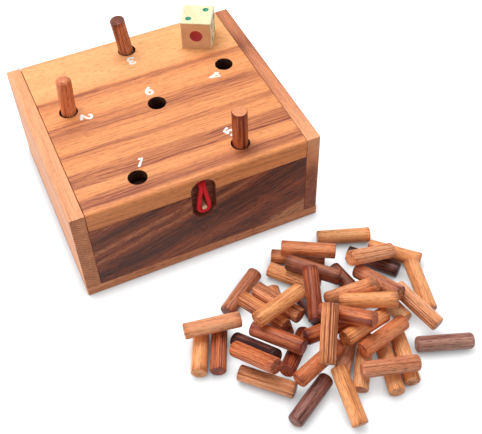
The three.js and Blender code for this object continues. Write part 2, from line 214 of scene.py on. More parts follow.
# Each wood: what it is on, its dark figure, its ground and its palest bands
WOODS = {
    "lid": ("Lid", "8a4030", "f8a063", "ffc282"),
    "side": ("Left side", "9c5638", "fbae7c", "ffd2ac"),
    "right": ("Right side", "743422", "e49266", "ffc08c"),
    "wall": ("Front and rear walls", "3e180f", "a85c3e", "eca878"),
    "bottom": ("Bottom", "a86040", "f4a272", "ffcca0"),
    # The recess is given a darker, duller wood than the lid and the wall: painted shade in the
    # recess
    "recess": ("Latch recess", "3c1a12", "9a5a46", "cc9070"),
    # Holes, bores and the slot are painted a dark brown: painted shade inside them
    "drilled": ("Inside of the drilled holes", "241410", "54301f", "8a5a40"),
    # The dowel's wood is made paler to make up for the shade of the recess it stands in: painted
    # light
    "dowel": ("Latch dowel", "e4b07c", "ffe0b4", "fff0d8"),
    "die": ("Die", "e0c084", "f6ecc2", "fdf8e2"),
    "die_end": ("Die, end grain", "b8825a", "dcaa7e", "eec8a0"),
    "honey": ("Honey pegs", "a85630", "ffab6b", "ffbe84"),
    "tan": ("Tan pegs", "94502e", "f29d69", "ffc094"),
    "orange": ("Orange pegs", "802f16", "d77748", "f09a68"),
    "brown": ("Brown pegs", "6e3420", "d28059", "eca47c"),
    "russet": ("Russet pegs", "4c2014", "a75c40", "d09070"),
    "plum": ("Plum pegs", "3a1c1c", "9b6255", "c89884"),
}

# Every loose peg, in the order of the model's heap: form, wood, how much paler or darker
# it is than its wood, and how much paler or darker its ends are (both, or left and right).
# Pegs that lie under others, such as the 8th, 16th and 19th to 22nd, are made paler to
# make up for the shade they lie in: painted light in their tone.
HEAP = [
    ("plain", "honey", 0.03, 0.30, 0.20),
    ("reeded", "orange", 0.00, -0.2),
    ("plain", "brown", 0.13, -0.1),
    ("plain", "tan", 0.05, -0.2),
    ("reeded", "orange", -0.10, -0.2),
    ("round", "plum", -0.07, 0.1),
    ("plain", "tan", -0.03, -0.2),
    ("reeded", "honey", 0.31, -0.2),
    ("plain", "honey", 0.32, -0.15),
    ("plain", "plum", -0.30, 0.0),
    ("plain", "honey", 0.05, -0.15, -0.1),
    ("plain", "honey", 0.14, -0.2),
    ("plain", "russet", -0.19, -0.1),
    ("plain", "plum", -0.40, -0.1),
    ("plain", "tan", 0.00, -0.1),
    ("plain", "honey", 0.42, 0.0),
    ("reeded", "tan", 0.28, -0.1),
    ("round", "plum", 0.28, 0.1, 0.2),
    ("reeded", "honey", 0.36, -0.2),
    ("plain", "honey", 0.40, -0.2),
    ("reeded", "tan", 1.05, -0.1),
    ("plain", "honey", 0.56, -0.6),
    ("plain", "plum", -0.27, 0.0),
    ("reeded", "orange", 0.10, -0.1),
    ("reeded", "honey", 0.00, -0.1),
    ("reeded", "tan", 0.09, -0.1),
    ("plain", "orange", -0.20, -0.2),
    ("plain", "orange", 0.15, -0.1),
    ("plain", "honey", 0.00, -0.1, -0.2),
    ("plain", "orange", 0.25, -0.1, -0.2),
    ("plain", "brown", 0.08, -0.1),
    ("plain", "orange", 0.30, -0.2),
    ("plain", "russet", 0.05, 0.0),
    ("plain", "tan", 0.15, -0.1),
    ("plain", "orange", -0.20, -0.1),
    ("plain", "orange", -0.10, -0.1),
    ("plain", "honey", 0.06, -0.1),
    ("plain", "orange", -0.05, 0.2, 0.4),
    ("ragged", "tan", 0.30, -0.1),
    ("round", "brown", 0.13, -0.1, 0.1),
    ("plain", "honey", 0.00, 0.1),
    ("plain", "tan", 0.10, -0.2),
    ("plain", "honey", 0.10, -0.1),
    ("reeded", "tan", 0.05, -0.1),
]

# Pegs that stand in holes: form, wood, tone, and the tone of the foot and of the top, or
# of both
STANDING = {
    2: ("domed", "orange", 0.10, 0.0, 0.25),
    3: ("plain", "brown", -0.10, -0.2),
    5: ("plain", "orange", -0.25, -0.1, 1.2),
}

# Figure of the lid from its back edge to its front edge: share of the way, tone
LID_BANDS = [
    (0.0, 0.70), (0.04, 0.90), (0.14, 0.78), (0.20, 0.86), (0.28, 0.68), (0.297, 0.22),
    (0.32, 0.40), (0.35, 0.50), (0.40, 0.58), (0.45, 0.50), (0.475, 0.34), (0.52, 0.27),
    (0.56, 0.38), (0.60, 0.56), (0.635, 0.50), (0.65, 0.28), (0.67, 0.38), (0.70, 0.50),
    (0.75, 0.52), (0.77, 0.28), (0.84, 0.21), (0.855, 0.52), (0.89, 0.54), (0.93, 0.20),
    (0.96, 0.18), (0.98, 0.48), (1.0, 0.47),
]
# Figure of the right side, from its lowest growth ring to its highest
RIGHT_BANDS = [
    (0.0, 0.22), (0.55, 0.34), (0.70, 0.42), (0.76, 0.38), (0.80, 0.20), (0.84, 0.42),
    (0.89, 0.48), (0.94, 0.68), (1.0, 0.88),
]
# Tones of the right side's front end, from its lower end up: darker towards the bottom
RIGHT_END_BANDS = [
    (0.0, 0.22), (0.15, 0.14), (0.45, 0.12), (0.62, 0.25), (0.76, 0.52), (1.0, 0.82),
]
# Figure of the front wall, from its lower right corner to its upper left corner
FRONT_BANDS = [
    (0.0, 0.88), (0.11, 0.78), (0.16, 0.40), (0.26, 0.22), (0.34, 0.48), (0.42, 0.25),
    (0.52, 0.12), (0.60, 0.30), (0.66, 0.62), (0.70, 0.25), (0.76, 0.66), (0.80, 0.30),
    (0.86, 0.15), (0.92, 0.50), (1.0, 0.20),
]
EVEN_BANDS = [(0.0, 0.5), (1.0, 0.5)]


def length_choice(label, description, metres):
    return FloatProperty(
        name=label, description=description, default=metres, unit="LENGTH", precision=5)


def colour_choice(label, description, code):
    return FloatVectorProperty(
        name=label, description=description, subtype="COLOR", size=4, min=0, max=1,
        default=linear(code))


class GameSizes(bpy.types.PropertyGroup):
    """Sizes of the finish that a user may change"""

    board_ease: length_choice("Board edge ease", "Width of each board's sanded edge", 0.0005)
    rim_ease: length_choice("Hole rim ease", "Width of each peg hole's sanded rim", 0.0003)
    reed_depth: length_choice("Reed depth", "Depth of the grooves along a reeded peg", 0.0004)
    reed_count: IntProperty(
        name="Reeds", description="Grooves round a reeded peg", default=20, min=8, max=40)
    unevenness: length_choice("Peg unevenness", "How far a peg departs from round", 0.00022)
    numeral_height: length_choice(
        "Number height", "Height of the painted numbers, between stroke middles", 0.0058)
    stroke_width: length_choice("Stroke width", "Width of the painted numbers' strokes", 0.0016)
    paint_thickness: length_choice(
        "Paint thickness", "Height of the painted numbers above the lid", 0.00006)
    streak_width: length_choice("Streak width", "Width of the streaks of the grain", 0.0011)
    line_width: length_choice("Hair line width", "Width of the fine lines of the grain", 0.0008)
    pore_length: length_choice("Pore length", "Length of the open pores of the grain", 0.0036)
    pore_width: length_choice("Pore width", "Width of the open pores of the grain", 0.0004)
    saw_spacing: length_choice("Saw line spacing", "Between saw lines on end grain", 0.0013)
    braid_pitch: length_choice("Braid pitch", "Length of one thread crossing", 0.0009)


class GameColours(bpy.types.PropertyGroup):
    """Colours that a user may change"""

    elastic: colour_choice("Elastic", "Colour of the braided elastic", "ff2630")
    numerals: colour_choice("Numbers", "Paint of the numbers", "fcf8f0")
    small_pips: colour_choice("Small pips", "Paint of the die's small pips", "1f9a7c")
    big_pip: colour_choice("Big pip", "Paint of the die's single pip", "a32430")
    steel: colour_choice("Hinge pins", "Steel of the hinge pins", "a9a6a0")
    floor: colour_choice("Floor", "Colour of the floor", "a4a6aa")


WOOD_TONES = {
    "dark": "Dark figure of this wood",
    "ground": "Ground of this wood",
    "pale": "Palest bands of this wood",
}
for key, (label, *codes) in WOODS.items():
    for (tone, description), code in zip(WOOD_TONES.items(), codes):
        GameColours.__annotations__[f"{key}_{tone}"] = colour_choice(
            f"{label}, {tone}", description, code)


# Making shapes


def sizes():
    return bpy.context.scene.game_sizes


def colours():
    return bpy.context.scene.game_colours


def activate(piece):
    """Leaves only this piece selected."""
    if bpy.context.object and bpy.context.object.mode != "OBJECT":
        bpy.ops.object.mode_set(mode="OBJECT")
    bpy.ops.object.select_all(action="DESELECT")
    if piece:
        piece.select_set(True)
        bpy.context.view_layer.objects.active = piece


def new_piece(name, material=None):
    """Names what an add operator has just made and puts its place in its mesh."""
    piece = bpy.context.object
    piece.name = name
    bpy.ops.object.transform_apply(location=True, rotation=True, scale=True)
    if material:
        piece.data.materials.append(material)
    return piece


def add_block(name, low, high, material=None):
    activate(None)
    low, high = Vector(low), Vector(high)
    bpy.ops.mesh.primitive_cube_add(size=1, location=(low + high) / 2, scale=high - low)
    return new_piece(name, material)


def add_rod(name, radius, start, end, sides, material=None):
    activate(None)
    start, end = Vector(start), Vector(end)
    turn = (end - start).to_track_quat("Z", "Y").to_euler()
    bpy.ops.mesh.primitive_cylinder_add(
        vertices=sides, radius=radius, depth=(end - start).length,
        location=(start + end) / 2, rotation=turn)
    return new_piece(name, material)


def pick(piece, kind, test):
    """Goes into edit mode with only those vertices or edges selected that the test says
    yes to. It is given the points of each one."""
    activate(piece)
    bpy.ops.object.mode_set(mode="EDIT")
    bpy.ops.mesh.select_mode(type=kind)
    bpy.ops.mesh.select_all(action="DESELECT")
    bpy.ops.object.mode_set(mode="OBJECT")
    mesh = piece.data
    points = [v.co for v in mesh.vertices]
    if kind == "VERT":
        for vertex in mesh.vertices:
            vertex.select = test(vertex.co)
    else:
        for edge in mesh.edges:
            edge.select = test(*[points[i] for i in edge.vertices])
    bpy.ops.object.mode_set(mode="EDIT")


def leave_edit_mode():
    bpy.ops.object.mode_set(mode="OBJECT")


def ease_edges(piece, width, segments, test=lambda a, b: True):
    pick(piece, "EDGE", test)
    bpy.ops.mesh.bevel(offset=width, segments=segments, affect="EDGES", clamp_overlap=True)
    leave_edit_mode()


def shave(piece, point, normal):
    """Cuts off what lies outside a plane and closes the cut."""
    pick(piece, "VERT", lambda co: True)
    bpy.ops.mesh.bisect(
        plane_co=point, plane_no=normal, use_fill=True, clear_outer=True, threshold=1e-7)
    leave_edit_mode()


def plane_round(piece, centre, radius, first, second, cuts):
    """Planes facets about a centre, each turned by its degrees from the first direction
    towards the second."""
    for degrees in cuts:
        angle = math.radians(degrees)
        normal = Vector(first) * math.cos(angle) + Vector(second) * math.sin(angle)
        shave(piece, centre + normal * radius, normal)


def sweep(name, routes, radius, resolution, rounded=False):
    """A cord along each route. Rounded ends taper off within one radius."""
    line = bpy.data.curves.new(name + "_line", "CURVE")
    line.dimensions = "3D"
    line.bevel_depth = radius
    line.bevel_resolution = resolution
    line.use_fill_caps = True
    for route in routes:
        places = [(place, 1.0) for place in route]
        if rounded:
            first = (route[0] - route[1]).normalized() * radius
            last = (route[-1] - route[-2]).normalized() * radius
            for reach in ROUND_STEPS:
                swell = math.sqrt(1 - reach ** 2)
                places.insert(0, (route[0] + first * reach, swell))
                places.append((route[-1] + last * reach, swell))
        spline = line.splines.new("POLY")
        spline.points.add(len(places) - 1)
        for point, (place, swell) in zip(spline.points, places):
            point.co = (*place, 1)
            point.radius = swell
    activate(None)
    cord = bpy.data.objects.new(name, line)
    bpy.context.scene.collection.objects.link(cord)
    activate(cord)
    bpy.ops.object.convert(target="MESH")
    cord = bpy.context.object
    cord.data.materials.clear()
    return cord


def apply_modifier(piece, modifier):
    activate(piece)
    bpy.ops.object.modifier_apply(modifier=modifier.name)


def cut(piece, cutter):
    """Takes the cutter away from the piece. The cut faces keep the cutter's material."""
    modifier = piece.modifiers.new("cut", "BOOLEAN")
    modifier.operation = "DIFFERENCE"
    modifier.solver = "EXACT"
    modifier.material_mode = "TRANSFER"
    modifier.object = cutter
    apply_modifier(piece, modifier)
    bpy.data.objects.remove(cutter)


def finish_piece(piece, body, slot, *nodes):
    """Shades the piece, lets it ride on its body and stand for its nodes."""
    activate(piece)
    bpy.ops.object.transform_apply(location=True, rotation=True, scale=True)
    bpy.ops.object.shade_smooth_by_angle(angle=SMOOTH_ANGLE)
    modifier = piece.modifiers.new("large_faces_lead", "WEIGHTED_NORMAL")
    modifier.keep_sharp = True
    apply_modifier(piece, modifier)
    if body:
        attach(piece, body)
    if nodes:
        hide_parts(*nodes)


# Making materials


def plug(tree, node, sockets):
    """Gives each of these inputs of a node its value or its link."""
    for key, value in sockets.items():
        if isinstance(value, bpy.types.NodeSocket):
            tree.links.new(value, node.inputs[key])
        else:
            node.inputs[key].default_value = value


def add_node(tree, kind, sockets=None, stops=None, **settings):
    """Adds one node with its settings, its socket values or links, and a ramp's stops."""
    node = tree.nodes.new("ShaderNode" + kind)
    for key, value in settings.items():
        setattr(node, key, value)
    plug(tree, node, sockets or {})
    if stops:
        elements = node.color_ramp.elements
        elements[0].position, elements[-1].position = stops[0][0], stops[-1][0]
        for place, _ in stops[1:-1]:
            elements.new(place)
        for element, (_, colour) in zip(elements, stops):
            element.color = colour
    return node


def maths(tree, operation, *values):
    return add_node(tree, "Math", dict(enumerate(values)), operation=operation).outputs[0]


def vector_maths(tree, operation, *values):
    node = add_node(tree, "VectorMath", dict(enumerate(values)), operation=operation)
    return node.outputs["Value" if operation == "DOT_PRODUCT" else "Vector"]


def rescale(tree, value, *limits):
    """Maps the value from the first two limits onto the last two."""
    return add_node(tree, "MapRange", dict(enumerate((value, *limits)))).outputs[0]


def noise(tree, place, scale, detail, roughness=0.6):
    return add_node(tree, "TexNoise", {
        "Vector": place, "Scale": scale, "Detail": detail, "Roughness": roughness})


def ramp(tree, share, stops):
    return add_node(tree, "ValToRGB", {0: share}, stops).outputs[0]


def fade(tree, value, edges):
    """Black below the first edge and white above the second."""
    return ramp(tree, value, [(edge, grey(tone)) for edge, tone in zip(edges, (0.0, 1.0))])


def mix(tree, share, first, second):
    sockets = {0: share, 6: first, 7: second}
    return add_node(tree, "Mix", sockets, data_type="RGBA").outputs[2]


def stored(tree, name, socket):
    return add_node(tree, "Attribute", attribute_name=name).outputs[socket]


def object_place(tree):
    return add_node(tree, "TexCoord").outputs["Object"]


def bump(tree, strength, distance, height):
    return add_node(tree, "Bump", {
        "Strength": strength, "Distance": distance, "Height": height}).outputs[0]


def grey(tone):
    return (tone, tone, tone, 1.0)


def darker(colour, share):
    return tuple(channel * share for channel in colour[:3]) + (1.0,)


made_materials = {}


def new_material(name):
    material = made_materials[name] = bpy.data.materials.new(name)
    material.use_nodes = True
    tree = material.node_tree
    return material, tree, tree.nodes["Principled BSDF"]


# Noise keeps within about a tenth of its middle, so its swing is widened to reach both
# ends of a wood's tones
NOISE_GAIN = 5
# Over how many millimetres the grain wanders, along it and to both sides
WANDER_LENGTHS = (70, 30, 30)
# Lengths of the growth bands, streaks and hair lines along the grain (millimetres)
GROWTH_LENGTH = 160
STREAK_LENGTH = 28
LINE_LENGTH = 75
# Noise levels between which a hair line and a pore fade in
LINE_EDGES = (0.54, 0.64)
PORE_EDGES = (0.58, 0.68)
# How much a saw line changes the tone and the height, and how deep a pore is beside it
SAW_TONE = 0.12
SAW_HEIGHT = 0.35
PORE_HEIGHT = -0.6
# How far roughness swings, how far below its middle it starts, and how strongly and how
# high the grain stands out (metres)
SHEEN_SWING = 0.25
SHEEN_START = 0.12
GRAIN_BUMP = 0.4
GRAIN_HEIGHT = 0.00015


def wood_material(name, wood, turn=(0, 0, 0), across=(0, 0, 1), reach=(0, 1), bands=EVEN_BANDS,
                  wander=3, growth=9, figure=0.22, streaks=0.20, lines=0.4, pores=0.6,
                  shift=0.0, saw=None, rough=0.5, peg=False):
    """Sanded and lightly oiled hardwood with open pores: warm ground, darker growth
    bands that wander a little, fine lines, streaks and dark pores along the grain, and
    a low satin sheen that breaks up along the grain.

    turn brings the grain onto the X axis. The bands run across the piece in the
    direction across, and reach is where they start and end, in millimetres."""
    if name in made_materials:
        return made_materials[name]
    material, tree, shader = new_material(name)
    size, colour = sizes(), colours()
    dark, ground, pale = (getattr(colour, f"{wood}_{tone}") for tone in WOOD_TONES)
    place = stored(tree, "grain_place", "Vector") if peg else object_place(tree)
    per_mm = 1 / MM
    grain = add_node(tree, "Mapping", {
        "Vector": place, "Rotation": turn, "Scale": (per_mm, per_mm, per_mm)}).outputs[0]

    # The grain wanders to either side over some centimetres
    slow = vector_maths(tree, "MULTIPLY", grain, [1 / length for length in WANDER_LENGTHS])
    drift = noise(tree, slow, 1, 2, 0.5)
    centred = vector_maths(tree, "SUBTRACT", drift.outputs["Color"], (0.5, 0.5, 0.5))
    wandering = vector_maths(tree, "MULTIPLY_ADD", centred, (0, 2 * wander, 2 * wander), grain)

    # Where this point lies in the bands
    level = vector_maths(tree, "DOT_PRODUCT", place, Vector(across).normalized() * per_mm)
    sway = maths(tree, "ADD", drift.outputs[0], -0.5)
    level = maths(tree, "MULTIPLY_ADD", sway, wander, level)
    share = rescale(tree, level, *reach, 0.0, 1.0)
    band = ramp(tree, share, [(at, grey(tone)) for at, tone in bands])

    # Soft growth bands, streaks, hair lines and pores, each drawn out along the grain
    layers = {}
    for part, length, width, detail in (
            ("growth", GROWTH_LENGTH, growth, 2.5),
            ("streak", STREAK_LENGTH, size.streak_width / MM, 3.0),
            ("line", LINE_LENGTH, size.line_width / MM, 1.0),
            ("pore", size.pore_length / MM, size.pore_width / MM, 0.0)):
        stretched = vector_maths(
            tree, "MULTIPLY", wandering, (1 / length, 1 / width, 1 / width))
        layers[part] = noise(tree, stretched, 1, detail).outputs[0]
    tone = band
    for part, gain in (("growth", figure), ("streak", streaks)):
        offset = maths(tree, "ADD", layers[part], -0.5)
        tone = maths(tree, "MULTIPLY_ADD", offset, NOISE_GAIN * gain, tone)
    # Hair lines gather where a band is dark
    line = fade(tree, layers["line"], LINE_EDGES)
    gathered = maths(tree, "MULTIPLY_ADD", band, lines, -lines)
    tone = maths(tree, "MULTIPLY_ADD", line, gathered, tone)
    if shift:
        tone = maths(tree, "ADD", tone, shift)
    if peg:
        # Each peg has its own tone, and its grooves and rims are darkened with painted shade
        tone = maths(tree, "ADD", tone, stored(tree, "tone_shift", "Fac"))
        groove = stored(tree, "groove", "Fac")
        tone = maths(tree, "MULTIPLY_ADD", groove, -GROOVE_PAINTED_SHADE, tone)
    height = layers["streak"]
    if saw:
        # Fine slanting ridges that the blade left on the end grain
        spacing = Vector(saw).normalized() * (2 * math.pi / size.saw_spacing)
        ridges = maths(tree, "SINE", vector_maths(tree, "DOT_PRODUCT", place, spacing))
        tone = maths(tree, "MULTIPLY_ADD", ridges, SAW_TONE, tone)
        height = maths(tree, "MULTIPLY_ADD", ridges, SAW_HEIGHT, height)

    mixed = ramp(tree, tone, [(0.0, dark), (0.5, ground), (1.0, pale)])
    pore = fade(tree, layers["pore"], PORE_EDGES)
    mixed = mix(tree, maths(tree, "MULTIPLY", pore, pores), mixed, dark)
    uneven = maths(tree, "MULTIPLY_ADD", layers["streak"], SHEEN_SWING, rough - SHEEN_START)
    height = maths(tree, "MULTIPLY_ADD", pore, PORE_HEIGHT, height)
    plug(tree, shader, {
        "Base Color": mixed, "Roughness": uneven,
        "Normal": bump(tree, GRAIN_BUMP, GRAIN_HEIGHT, height),
        "IOR": 1.5, "Specular IOR Level": 0.35 if peg else 0.3})
    return material


def paint_material(name, tone, rough=0.4):
    """Brushed gloss paint on wood: an even colour, a shade thinner in places, with a
    soft sheen that follows the brush."""
    if name in made_materials:
        return made_materials[name]
    material, tree, shader = new_material(name)
    mottle = noise(tree, object_place(tree), 900, 3).outputs[0]
    thin = rescale(tree, mottle, 0.35, 0.7, 0.0, 0.25)
    plug(tree, shader, {
        "Base Color": mix(tree, thin, tone, darker(tone, 0.6)),
        "Roughness": maths(tree, "MULTIPLY_ADD", mottle, 0.2, rough - 0.1),
        "Normal": bump(tree, 0.2, 0.00005, mottle)})
    return material


def braid_material():
    """Braided polyester elastic: two sets of threads cross over a rubber core, so the
    cord shows small diagonal cushions and a soft sheen. The gaps between them are painted
    darker, a painted shade."""
    material, tree, shader = new_material("braided_elastic")
    place = stored(tree, "braid_place", "Vector")
    split = add_node(tree, "SeparateXYZ", {0: place})
    threads = []
    for way in (1, -1):
        slant = maths(tree, "MULTIPLY_ADD", split.outputs[1], way, split.outputs[0])
        threads.append(maths(tree, "ABSOLUTE", maths(tree, "SINE", slant)))
    cushion = maths(tree, "MULTIPLY", *threads)
    tone = colours().elastic
    plug(tree, shader, {
        # The gaps between the threads are painted darker: painted shade
        "Base Color": mix(tree, cushion, darker(tone, 0.85), tone),
        "Normal": bump(tree, 0.6, 0.0002, cushion), "Roughness": 0.55,
        "Specular IOR Level": 0.2, "Sheen Weight": 0.6, "Sheen Tint": linear("ff4850")})
    return material


def steel_material():
    """Drawn mild steel wire: a plain grey metal with fine scratches round its end."""
    material, tree, shader = new_material("drawn_steel")
    scratch = noise(tree, object_place(tree), 2500, 2).outputs[0]
    tone = colours().steel
    plug(tree, shader, {
        "Roughness": rescale(tree, scratch, 0, 1, 0.3, 0.5),
        "Base Color": mix(tree, scratch, tone, darker(tone, 0.7)), "Metallic": 1.0})
    return material


def shaded_hole_material():
    """Wood inside a drilled hole: a dark brown, far darker than the lid's wood, that paints
    the shade deep in the hole onto its walls.
    """
    return wood_material("drilled_wood", "drilled", rough=0.65)


# Boards of the box

GRAIN_ALONG_Y = (0, 0, -QUARTER)
FRONT_SLANT = math.radians(17)
END_GRAIN_NORMAL = 0.9
PIN_SIDES = 32
# Share of its half width by which the recess's corners are rounded
NOTCH_ROUND = 0.999
SIDE_GRAIN = dict(turn=GRAIN_ALONG_Y, figure=0.14, streaks=0.09, lines=0.18, pores=0.22)
SIDE_END_GRAIN = dict(turn=GRAIN_ALONG_Y, figure=0.1, streaks=0.08, lines=0.2, pores=0.25)
SIDE_LOOKS = {
    "left": dict(wood="side", growth=8, wander=3),
    "right": dict(
        wood="right", across=(0, -0.165, 1), reach=(0, 75), bands=RIGHT_BANDS, wander=4),
}
END_LOOKS = {
    "left": dict(SIDE_LOOKS["left"], shift=-0.26, saw=(1, 0, 1.4)),
    "right": dict(wood="right", reach=(0, BOX_HEIGHT), bands=RIGHT_END_BANDS, wander=3),
}


def hinge_line():
    low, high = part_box("hinge_pin_left")
    middle = (low + high) / 2
    return middle.y, middle.z


def pin_cutter(start, end):
    y, z = hinge_line()
    return add_rod(
        "pin_bore", PIN_BORE_DIAMETER * MM / 2, (start, y, z), (end, y, z), PIN_SIDES,
        shaded_hole_material())


def notch_cutter():
    """Upright round-ended block that sinks the latch recess into lid and front wall."""
    low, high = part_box("lid")
    top = high.z - NOTCH_BELOW_TOP * MM
    half = NOTCH_WIDTH * MM / 2
    # The recess's cut faces take a darker wood: painted shade
    cutter = add_block(
        "notch",
        (LATCH_X * MM - half, low.y - CUT_OVERRUN * MM, top - NOTCH_HEIGHT * MM),
        (LATCH_X * MM + half, low.y + NOTCH_DEPTH * MM, top),
        wood_material("recess_wood", "recess", rough=0.6))
    ease_edges(cutter, half * NOTCH_ROUND, 20, lambda a, b: abs(a.y - b.y) > NOTCH_DEPTH * MM)
    return cutter


def mark_ends(piece, axis, material):
    """Gives the end-grain faces, which face along the axis, their own material."""
    piece.data.materials.append(material)
    for face in piece.data.polygons:
        if abs(face.normal[axis]) > END_GRAIN_NORMAL:
            face.material_index = len(piece.data.materials) - 1


def make_board(name, node, material):
    low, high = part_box(node)
    board = add_block(name, low, high, material)
    ease_edges(board, sizes().board_ease, 2)
    return board


def round_outer_edges(board, low, high):
    """Rounds the outer top edge and the outer front edge."""
    radius = RIGHT_ROUND * MM
    centre = Vector((high.x - radius, low.y + radius, high.z - radius))
    for other in ((0, 0, 1), (0, -1, 0)):
        plane_round(board, centre, radius, (1, 0, 0), other, RIGHT_ROUND_CUTS)


class DICE_OT_boards(bpy.types.Operator):
    """Makes the bottom, the two sides and the front and rear walls of the box"""

    bl_idname = "dice.boards"
    bl_label = "Make the boards"

    def execute(self, context):
        bottom = make_board("bottom_panel", "bottom_board", wood_material(
            "bottom_wood", "bottom", wander=3, growth=7))
        mark_ends(bottom, 0, wood_material(
            "bottom_end_grain", "bottom", shift=-0.15, saw=(0, 1, 1.6)))
        finish_piece(bottom, "box", "bottom_wood", "bottom_board")

        for side, looks in SIDE_LOOKS.items():
            node = side + "_side"
            board = make_board(
                node + "_board", node, wood_material(node + "_wood", **SIDE_GRAIN, **looks))
            low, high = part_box(node)
            if side == "right":
                round_outer_edges(board, low, high)
            mark_ends(board, 1, wood_material(
                node + "_end_grain", **SIDE_END_GRAIN, **END_LOOKS[side]))
            reach = CUT_OVERRUN * MM
            cut(board, pin_cutter(low.x - reach, high.x + reach))
            finish_piece(board, "box", "side_wood", node)

        front = make_board("front_board", "front_wall", wood_material(
            "front_wall_wood", "wall", turn=(0, FRONT_SLANT, 0),
            across=(-math.sin(FRONT_SLANT), 0, math.cos(FRONT_SLANT)), reach=(-14, 69),
            bands=FRONT_BANDS, wander=9, growth=5, figure=0.16, streaks=0.17, lines=0.3))
        cut(front, notch_cutter())
        low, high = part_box("latch_peg")
        middle = (low + high) / 2
        socket = add_rod(
            "socket", (high.x - low.x) / 2 + SOCKET_SLACK * MM,
            (middle.x, high.y - SOCKET_DEPTH * MM, middle.z),
            (middle.x, high.y + SOCKET_END_GAP * MM, middle.z), PIN_SIDES, shaded_hole_material())
        cut(front, socket)
        finish_piece(front, "box", "wall_wood", "front_wall")

        rear = make_board("rear_board", "rear_wall", wood_material(
            "rear_wall_wood", "wall", wander=8, growth=8, figure=0.3, streaks=0.25))
        finish_piece(rear, "box", "wall_wood", "rear_wall")

        steel = steel_material()
        for node in ("hinge_pin_left", "hinge_pin_right"):
            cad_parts[node].data.materials[0] = steel
        return {"FINISHED"}


# Lid and its numbers

# How near a point must lie to count as on an edge, and as on a cut or worn one (metres)
NEAR = 1e-6
LOOSELY_NEAR = 1e-5
HOLE_SIDES = 64
LID_END_EASE_SHARE = 0.8
# Share of its half height by which the slot's corners are rounded
SLOT_ROUND = 0.98


def shave_lid_heel(lid):
    """Rounds the rear lower edge about the hinge line, so that the lid can swing."""
    y, z = hinge_line()
    low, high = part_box("lid")
    plane_round(lid, Vector((0, y, z)), z - low.z, (0, 1, 0), (0, 0, -1), LID_HEEL_CUTS)


def at_rim(x, y, radius, top):
    """Test for the edges of a hole's rim."""
    def near(co):
        off_round = abs(math.hypot(co.x - x, co.y - y) - radius)
        return off_round <= 2 * LOOSELY_NEAR and abs(co.z - top) <= LOOSELY_NEAR
    return lambda a, b: near(a) and near(b)


class DICE_OT_lid(bpy.types.Operator):
    """Makes the lid with its peg holes, its latch recess and its rounded heel"""

    bl_idname = "dice.lid"
    bl_label = "Make the lid"

    def execute(self, context):
        low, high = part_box("lid")
        fill = Vector((LID_GAP_FILL * MM, 0, 0))
        lid = add_block("lid_board", low - fill, high + fill)
        on_top = lambda a, b: min(a.z, b.z) > high.z - NEAR
        ease_edges(lid, LID_FRONT_ROUND * MM, 6,
                   lambda a, b: max(a.y, b.y) < low.y + NEAR and on_top(a, b))
        ease_edges(lid, LID_REAR_EASE * MM, 3,
                   lambda a, b: min(a.y, b.y) > high.y - NEAR and on_top(a, b))
        shave_lid_heel(lid)
        ends = lambda a, b: (abs(a.x - b.x) < NEAR and abs(a.x) > high.x
                             and min(a.y, b.y) < high.y - LID_THICKNESS * MM)
        ease_edges(lid, sizes().board_ease * LID_END_EASE_SHARE, 2, ends)
        lid.data.materials.append(wood_material(
            "lid_wood", "lid", across=(0, -1, 0), reach=(-BOX_DEPTH / 2, BOX_DEPTH / 2),
            bands=LID_BANDS, wander=2.5, growth=5, figure=0.06, streaks=0.09, lines=0.3,
            pores=0.32))
        radius = HOLE_DIAMETER * MM / 2
        over = CUT_OVERRUN * MM
        for number, (x, y) in HOLES.items():
            depth = high.z - low.z + over if number == THROUGH_HOLE else HOLE_DEPTH * MM
            cutter = add_rod(
                "hole", radius, (x * MM, y * MM, high.z - depth),
                (x * MM, y * MM, high.z + over), HOLE_SIDES, shaded_hole_material())
            cut(lid, cutter)
        cut(lid, notch_cutter())
        middle = Vector((LATCH_X * MM, low.y + NOTCH_DEPTH * MM, high.z - ELASTIC_BELOW_TOP * MM))
        half_high = (ELASTIC_DIAMETER / 2 + ELASTIC_SLOT_SLACK) * MM
        half_wide = half_high + (ELASTIC_DIAMETER + ELASTIC_STRAND_GAP) * MM / 2
        slot = add_block(
            "slot",
            middle - Vector((half_wide, over, half_high)),
            middle + Vector((half_wide, (ELASTIC_ROOT + ELASTIC_ROOT_GAP) * MM, half_high)),
            shaded_hole_material())
        ease_edges(slot, half_high * SLOT_ROUND, 8,
                   lambda a, b: abs(a.y - b.y) > ELASTIC_ROOT * MM)
        cut(lid, slot)
        for side in (-1, 1):
            inner = high.x - PIN_GRIP * MM
            cut(lid, pin_cutter(side * inner, side * (high.x + over)))
        for x, y in HOLES.values():
            ease_edges(lid, sizes().rim_ease, 2, at_rim(x * MM, y * MM, radius, high.z))
        finish_piece(lid, "lid", "lid_wood", "lid")
        return {"FINISHED"}


class DICE_OT_numerals(bpy.types.Operator):
    """Paints the numbers 1 to 6 beside the peg holes"""

    bl_idname = "dice.numerals"
    bl_label = "Paint the numbers"

    def execute(self, context):
        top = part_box("lid")[1].z
        size = sizes()
        paint = paint_material("number_paint", colours().numerals, 0.5)
        for number, (across, back, turn) in NUMERALS.items():
            x, y = HOLES[number]
            routes = []
            for stroke in STROKES[number]:
                points = [Vector((right, up, 0)) * size.numeral_height for right, up in stroke]
                routes.append(smooth_route(points, 6) if len(points) > 3 else points)
            numeral = sweep(f"number_{number}", routes, size.stroke_width / 2, 4, True)
            flat = size.paint_thickness / (size.stroke_width / 2)
            numeral.scale = (1, 1, flat)
            numeral.rotation_euler = (0, 0, math.radians(turn))
            numeral.location = ((x + across) * MM, (y + back) * MM, top)
            numeral.data.materials.append(paint)
            finish_piece(numeral, "lid", None)
        return {"FINISHED"}


# Latch

DOWEL_SIDES = 40
# A cord's side direction this short means that the cord runs along Y
ALONG_Y_LENGTH = 0.2
THREADS_ROUND = 3


